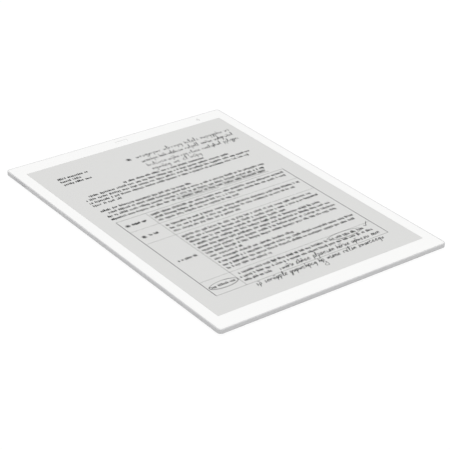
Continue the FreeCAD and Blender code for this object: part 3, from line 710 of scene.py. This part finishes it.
def penHatch(rng, start, end, heights, width, knotsPerLine=7, straying=(0.5, 0.12)):
    # One line drawn back and forth over the words, with a round turn at each end.
    knots = []
    strayX, strayY = straying
    for number, y in enumerate(heights):
        x = np.linspace(start, end, knotsPerLine)[::1 if number % 2 == 0 else -1]
        x = x + rng.uniform(-strayX, strayX, knotsPerLine)
        knots.append(np.stack([x, y + rng.uniform(-strayY, strayY, knotsPerLine)], -1))
    return penStroke(np.concatenate(knots), width, 5)


notes = {
    # Where each line at the top ends, and its height; then the start, end and height of each at the foot
    "top": ((93.6, 107.9), (91.6, 98.9), (91, 89.9), (45, 82.5)),
    "topLeft": -7.6,
    "topStyle": {"size": 3.0, "width": pen["width"], "climb": 0.4, "joined": 0.3},
    "foot": ((-23, 79, -110.0), (-52, 77, -118.2)),
    "footStyle": {"size": 3.1, "width": pen["boldWidth"], "climb": 0.6, "joined": 0.75, "slant": 0.3},
    "tail": ((12, -117), (14, -120), (13.4, -124.5), (10.4, -123.4), (14.6, -119.6)),
    # Place and size of each star; then the middle, half width, half height, turns and width of each ring
    "stars": ((-15, 109.6, 2.9), (-81, 12, 2.5), (-80, -9.6, 2.5)),
    "rings": (
        (-71, -101.6, 12.6, 5.0, 1.08, 0.34),
        (-71, -101.4, 12.2, 4.5, 0.8, 0.3),
        (54.3, -95.0, 17.0, 4.0, 1.08, 0.4),
    ),
    "tick": ((76, -92.4), (77.6, -94.2), (79.6, -91.2), (82.6, -88.4)),
    "tickWidth": 0.6,
    "hatches": ((-20, 19), (25, 71)),
    "hatchHeights": (31.2, 29.6, 26.2, 24.9),
    "hatchWidth": 0.24,
}


def buildPenNotes():
    rng = np.random.default_rng(pen["seed"])
    solids = []
    for end, y in notes["top"]:
        solids += penLine(rng, notes["topLeft"], end, y, **notes["topStyle"])
    for start, end, y in notes["foot"]:
        solids += penLine(rng, start, end, y, **notes["footStyle"])
    solids.append(penStroke(notes["tail"], pen["width"]))
    for star in notes["stars"]:
        solids += penStar(rng, *star)
    for ring in notes["rings"]:
        solids.append(penLoop(rng, *ring))
    solids.append(penStroke(notes["tick"], notes["tickWidth"]))
    for start, end in notes["hatches"]:
        solids.append(penHatch(rng, start, end, notes["hatchHeights"], notes["hatchWidth"]))
    joinSolids("page_pen_notes", solids)


buildPrint()
buildTableRules()
buildPenNotes()
print("page drawn")


touchMark = {
    "place": (82.3, 142.4),
    "radii": (1.1, 2.35, 3.6),
    "centre": 2.1,          # how far left of the place the arcs are centred
    "spread": 44,           # degrees either side of the mark's axis
    "width": 0.48,
    "depth": 0.01,
    "proud": 0.003,
    "arcPoints": 15,
}


def buildTouchMark():
    # Three nested arcs, the plain sign for a contactless spot: points of circles about one centre.
    spread, count = math.radians(touchMark["spread"]), touchMark["arcPoints"]
    angle = np.linspace(-spread, spread, count)
    half = np.full((1, count), touchMark["width"] / 2)
    x, y = touchMark["place"]
    low, high = frontZ - touchMark["depth"], frontZ + touchMark["proud"]
    solids = []
    for radius in touchMark["radii"]:
        arcX = x - touchMark["centre"] + radius * np.cos(angle)
        arc = np.stack([arcX, y + radius * np.sin(angle)], -1)
        solids.append(ribbonSolids(arc[None], half, low, high))
    joinSolids("bezel_touch_mark", solids)


buildTouchMark()
print("mark printed")


case = {
    "face": (0.815, 0.815, 0.81),
    "side": (0.60, 0.60, 0.605),
    "faceEdge": 0.92,       # the white of the face ends this far in from the side, in the seam groove
    "faceBlur": 0.05,       # and fades over this much either way
}


def mouldedGrain(look):
    look.polish(look.noise(1.6, 4), 0.05)
    look.bump(look.cells(0.34, "SMOOTH_F1"), 0.005, 0.3)
    look.bump(look.noise(0.12, 4, 0.6), 0.003, 0.3)
    return look.material


def sidePlastic(name, color, roughness):
    look = Look(name, color, roughness, Specular_IOR_Level=0.35)
    look.tint(look.noise(30, 3), 0.985, 1.01)
    return mouldedGrain(look)


def facePlastic():
    # White on the face and silver grey on the side. How far a point is in from the side comes from its
    # distance to a rounded rectangle: corner radius - length of max(|p| - half size + corner radius, 0).
    look = Look("facePlastic", case["face"], 0.46, Specular_IOR_Level=0.35)
    radius = cover["cornerRadius"]
    folded = look.node("ShaderNodeVectorMath", operation="ABSOLUTE")
    past = look.node("ShaderNodeVectorMath", operation="SUBTRACT")
    kept = look.node("ShaderNodeVectorMath", operation="MAXIMUM")
    flat = look.node("ShaderNodeVectorMath", operation="MULTIPLY")
    reach = look.node("ShaderNodeVectorMath", operation="LENGTH")
    past.inputs[1].default_value = ((halfX - radius) * mm, (halfY - radius) * mm, 0)
    flat.inputs[1].default_value = (1, 1, 0)
    chain = (folded, past, kept, flat, reach)
    look.link(look.coordinates, folded.inputs[0])
    for before, after in zip(chain, chain[1:]):
        look.link(before.outputs["Vector"], after.inputs[0])
    edge, blur = (radius - case["faceEdge"]) * mm, case["faceBlur"] * mm
    onFace = look.ramp(reach.outputs["Value"], edge + blur, edge - blur)
    drift = look.noise(40, 2)
    white = look.tint(drift, 0.992, 1.006)
    grey = look.tint(drift, 0.985, 1.01, case["side"])
    look.link(look.mix(onFace, grey, white), look.shader.inputs["Base Color"])
    return mouldedGrain(look)


def displayFilm():
    look = Look("displayFilm", (0.612, 0.612, 0.604), 0.55, Specular_IOR_Level=0.35)
    grain = look.noise(0.16, 5, 0.7)
    fine = look.math("MULTIPLY", grain, 0.75)
    broad = look.math("MULTIPLY", look.noise(60, 2), 0.25)
    look.tint(look.math("ADD", fine, broad), 0.975, 1.02)
    look.polish(look.noise(0.5, 3), 0.05)
    look.bump(grain, 0.006, 0.5)
    return look.material


def inkOnPaper(name, color, roughness=0.7):
    look = Look(name, color, roughness, Specular_IOR_Level=0.2)
    look.tint(look.noise(0.2, 4, 0.7), 0.7, 1.35)
    look.bump(look.noise(0.16, 4, 0.7), 0.004, 0.4)
    return look.material


def dockSteel():
    look = Look("dockSteel", (0.46, 0.46, 0.47), 0.38, 1.0)
    brushed = look.noise(0.25, 4, 0.6, look.stretched((1, 0.04, 1)))
    look.tint(brushed, 0.82, 1.12)
    look.polish(brushed, 0.1)
    look.bump(brushed, 0.004, 0.6)
    return look.material


def socketSteel():
    look = Look("socketSteel", (0.6, 0.6, 0.59), 0.32, 1.0)
    look.tint(look.noise(0.8, 4), 0.85, 1.08)
    look.polish(look.noise(0.4, 3), 0.1)
    look.bump(look.lines(0.09, "Y", wobble=3), 0.002, 0.5)
    return look.material


def clearPlastic(name, color, roughness=0.12):
    look = Look(name, color, roughness, Transmission_Weight=0.75, IOR=1.49)
    look.polish(look.noise(0.6, 3), 0.05)
    look.bump(look.noise(0.3, 3), 0.004, 0.4)
    return look.material


def mouldedBlack(name, color=(0.03, 0.03, 0.032), roughness=0.5):
    look = Look(name, color, roughness)
    look.tint(look.noise(0.3, 4, 0.7), 0.7, 1.5)
    look.polish(look.noise(0.8, 3), 0.08)
    look.bump(look.noise(0.1, 4, 0.7), 0.006, 0.6)
    return look.material


def goldPlate():
    look = Look("goldPlate", (0.86, 0.62, 0.26), 0.22, 1.0)
    look.tint(look.noise(0.5, 4), 0.88, 1.06)
    look.polish(look.noise(0.25, 4), 0.07)
    look.bump(look.noise(0.08, 3), 0.002, 0.4)
    return look.material


def clearLayer(name, color, blotchSize):
    look = Look(name, color, 0.25, Specular_IOR_Level=0.5)
    look.tint(look.noise(blotchSize, 3), 0.97, 1.02)
    look.polish(look.noise(blotchSize / 8, 3), 0.05)
    look.bump(look.noise(0.6, 3), 0.003, 0.3)
    return look.material


def inkCapsules():
    # Electronic-paper film: a bed of tiny capsules
    look = Look("inkCapsules", (0.66, 0.66, 0.64), 0.6)
    capsules = look.cells(0.12)
    look.tint(look.ramp(capsules, 0.0, 0.7), 1.04, 0.88)
    look.bump(capsules, 0.01, 0.6)
    return look.material


def backplaneFilm():
    # Amber plastic with a fine grid of row and column lines
    look = Look("backplaneFilm", (0.36, 0.24, 0.09), 0.3)
    grid = look.math("MAXIMUM", look.lines(0.36, "X"), look.lines(0.36, "Y"))
    look.tint(look.ramp(grid, 0.8, 1.0), 0.85, 1.25)
    look.polish(look.noise(3, 3), 0.06)
    return look.material


def softRubber(name, color, roughness=0.7):
    look = Look(name, color, roughness, Specular_IOR_Level=0.25)
    look.tint(look.noise(1.2, 4), 0.85, 1.15)
    look.polish(look.noise(0.6, 3), 0.06)
    look.bump(look.noise(0.2, 5, 0.7), 0.02, 0.6)
    return look.material


def wovenTape():
    look = Look("wovenTape", (0.045, 0.045, 0.05), 0.65)
    weave = look.math("MULTIPLY", look.lines(0.4, "X"), look.lines(0.4, "Y"))
    look.tint(weave, 0.7, 1.5)
    look.bump(weave, 0.02, 0.6)
    return look.material


def flexCircuit():
    # Amber film with copper tracks under it
    look = Look("flexCircuit", (0.55, 0.27, 0.06), 0.32, Coat_Weight=0.3)
    tracks = look.ramp(look.lines(0.55, "X"), 0.45, 0.6)
    look.tint(tracks, 0.8, 1.3)
    look.polish(look.noise(1.5, 3), 0.05)
    look.bump(tracks, 0.01, 0.5)
    return look.material


def sheetMetal():
    look = Look("sheetMetal", (0.6, 0.61, 0.62), 0.42, 1.0)
    rolled = look.noise(0.5, 5, 0.6, look.stretched((1, 0.03, 1)))
    look.tint(look.math("MULTIPLY", rolled, look.noise(30, 3)), 0.9, 1.15)
    look.polish(rolled, 0.09)
    look.bump(rolled, 0.004, 0.5)
    return look.material


def platedSteel(name, color, roughness=0.3):
    look = Look(name, color, roughness, 1.0)
    look.tint(look.noise(0.7, 4), 0.84, 1.1)
    look.polish(look.noise(0.35, 4), 0.08)
    look.bump(look.noise(0.15, 3), 0.004, 0.5)
    return look.material


def boardMask():
    # Solder mask over tracks, with plated holes scattered between them
    look = Look("boardMask", (0.015, 0.12, 0.065), 0.3, Coat_Weight=0.4, Coat_Roughness=0.15)
    tracks = look.ramp(look.lines(0.7, "DIAGONAL", wobble=2.5), 0.62, 0.72)
    crossing = look.ramp(look.lines(1.1, "X", wobble=1.5), 0.7, 0.8)
    copper = look.math("MAXIMUM", tracks, crossing)
    green = look.mix(copper, (0.012, 0.1, 0.055), (0.03, 0.21, 0.1))
    holes = look.ramp(look.cells(2.6), 0.12, 0.1)
    look.link(look.mix(holes, green, (0.6, 0.5, 0.26)), look.shader.inputs["Base Color"])
    look.polish(look.noise(2, 3), 0.05)
    look.bump(copper, 0.02, 0.6)
    look.bump(holes, -0.03, 0.6)
    return look.material


def insulatorSheet():
    look = Look("insulatorSheet", (0.1, 0.1, 0.105), 0.5)
    look.tint(look.noise(4, 3), 0.85, 1.2)
    look.bump(look.cells(0.5), 0.006, 0.4)
    return look.material


def siliconDie():
    look = Look("siliconDie", (0.08, 0.09, 0.11), 0.18)
    look.tint(look.lines(0.6, "X", "SAW"), 0.8, 1.3)
    look.polish(look.noise(1, 2), 0.04)
    return look.material


def ceramicBlock():
    look = Look("ceramicBlock", (0.42, 0.31, 0.19), 0.45)
    look.tint(look.noise(0.3, 4), 0.85, 1.15)
    look.bump(look.noise(0.1, 3), 0.004, 0.5)
    return look.material


def batteryFoil():
    # Embossed pouch foil
    look = Look("batteryFoil", (0.58, 0.59, 0.61), 0.36, 0.9)
    look.tint(look.noise(14, 3), 0.94, 1.05)
    look.polish(look.noise(3, 3), 0.06)
    look.bump(look.noise(8, 3), 0.12, 0.35)
    look.bump(look.cells(0.8), 0.02, 0.5)
    return look.material


def openFoam():
    look = Look("openFoam", (0.05, 0.05, 0.055), 0.9, Specular_IOR_Level=0.15)
    pores = look.cells(0.7)
    look.tint(look.ramp(pores, 0.1, 0.7), 0.4, 1.5)
    look.bump(pores, 0.2, 0.9)
    return look.material


def copperFoil():
    look = Look("copperFoil", (0.72, 0.36, 0.2), 0.3, 1.0)
    look.tint(look.noise(1.5, 4), 0.85, 1.08)
    look.polish(look.noise(0.5, 3), 0.08)
    return look.material


finishes = (
    (facePlastic(), ("front_bezel",)),
    (sidePlastic("backPlastic", case["side"], 0.5),
     ("back_cover", "back_cover_shell", "power_button_cap")),
    (sidePlastic("buttonPlastic", case["face"], 0.42), ("home_button_cap",)),
    (displayFilm(), ("front_film",)),
    (inkOnPaper("printedInk", (0.035, 0.035, 0.038)),
     ("page_opening_text", "page_table_text", "page_table_headings", "page_table_rules")),
    (inkOnPaper("penInk", (0.022, 0.022, 0.025)), ("page_pen_notes",)),
    (inkOnPaper("markGrey", (0.4, 0.4, 0.4), 0.5), ("bezel_touch_mark",)),
    (dockSteel(), ("dock_strip_left", "dock_strip_right")),
    (socketSteel(), ("usb_shell",)),
    (mouldedBlack("socketTongue"), ("usb_tongue",)),
    (goldPlate(), ("usb_contacts", "aerial_socket")),
    (clearPlastic("pipeAcrylic", (0.95, 0.95, 0.93)), ("light_pipe",)),
    (clearPlastic("lampLens", (0.9, 0.82, 0.5)), ("lamp",)),
    (clearLayer("sensorFilm", (0.72, 0.74, 0.75), 50), ("touch_sensor",)),
    (clearLayer("adhesiveLayer", (0.78, 0.78, 0.74), 12), ("optical_adhesive",)),
    (inkCapsules(), ("epaper_film",)),
    (backplaneFilm(), ("tft_backplane",)),
    (softRubber("gasketRubber", (0.2, 0.2, 0.21)), ("panel_gasket",)),
    (softRubber("thermalPadGrey", (0.36, 0.41, 0.47)), ("thermal_pad",)),
    (softRubber("leadJacket", (0.05, 0.05, 0.055), 0.45), ("aerial_lead",)),
    (wovenTape(), ("panel_tape", "battery_tape")),
    (flexCircuit(), ("display_flex", "touch_flex", "home_switch_flex", "battery_lead")),
    (sheetMetal(), ("support_plate",)),
    (platedSteel("zincScrew", (0.56, 0.56, 0.58)), ("frame_screws", "board_screws")),
    (platedSteel("tinShield", (0.7, 0.68, 0.64), 0.36), ("processor_shield", "radio_shield")),
    (platedSteel("crystalCan", (0.74, 0.72, 0.68), 0.26), ("clock_crystal",)),
    (boardMask(), ("main_board", "battery_board")),
    (insulatorSheet(), ("board_insulator",)),
    (siliconDie(), ("driver_chips",)),
    (ceramicBlock(), ("small_capacitors",)),
    (mouldedBlack("ferriteGrey", (0.13, 0.13, 0.135), 0.6), ("power_inductors",)),
    (mouldedBlack("socketCream", (0.66, 0.61, 0.5), 0.4),
     ("display_connector", "touch_connector", "home_connector", "battery_connector")),
    (batteryFoil(), ("battery_cell",)),
    (mouldedBlack("switchBody", (0.06, 0.06, 0.065), 0.42),
     ("power_switch", "power_switch_plunger", "home_switch", "home_switch_plunger")),
    (openFoam(), ("foam_pads",)),
    (copperFoil(), ("wireless_aerial", "tap_aerial")),
    (mouldedBlack("chipEpoxy"),
     ("application_processor", "memory_chip", "flash_storage", "power_management_chip",
      "touch_controller_chip", "wireless_module", "screen_power_chip", "tap_reader_chip")),
)
for material, names in finishes:
    paint(material, *names)

rounded = ("front_bezel", "front_film", "home_button_cap", "power_button_cap", "light_pipe", "usb_shell",
           "dock_strip_left", "dock_strip_right")
roundShade = roundShadeGroup()
for name in rounded:
    nodes[name].modifiers.new("roundShade", "NODES").node_group = roundShade
print("finishes applied:", len(finishes))
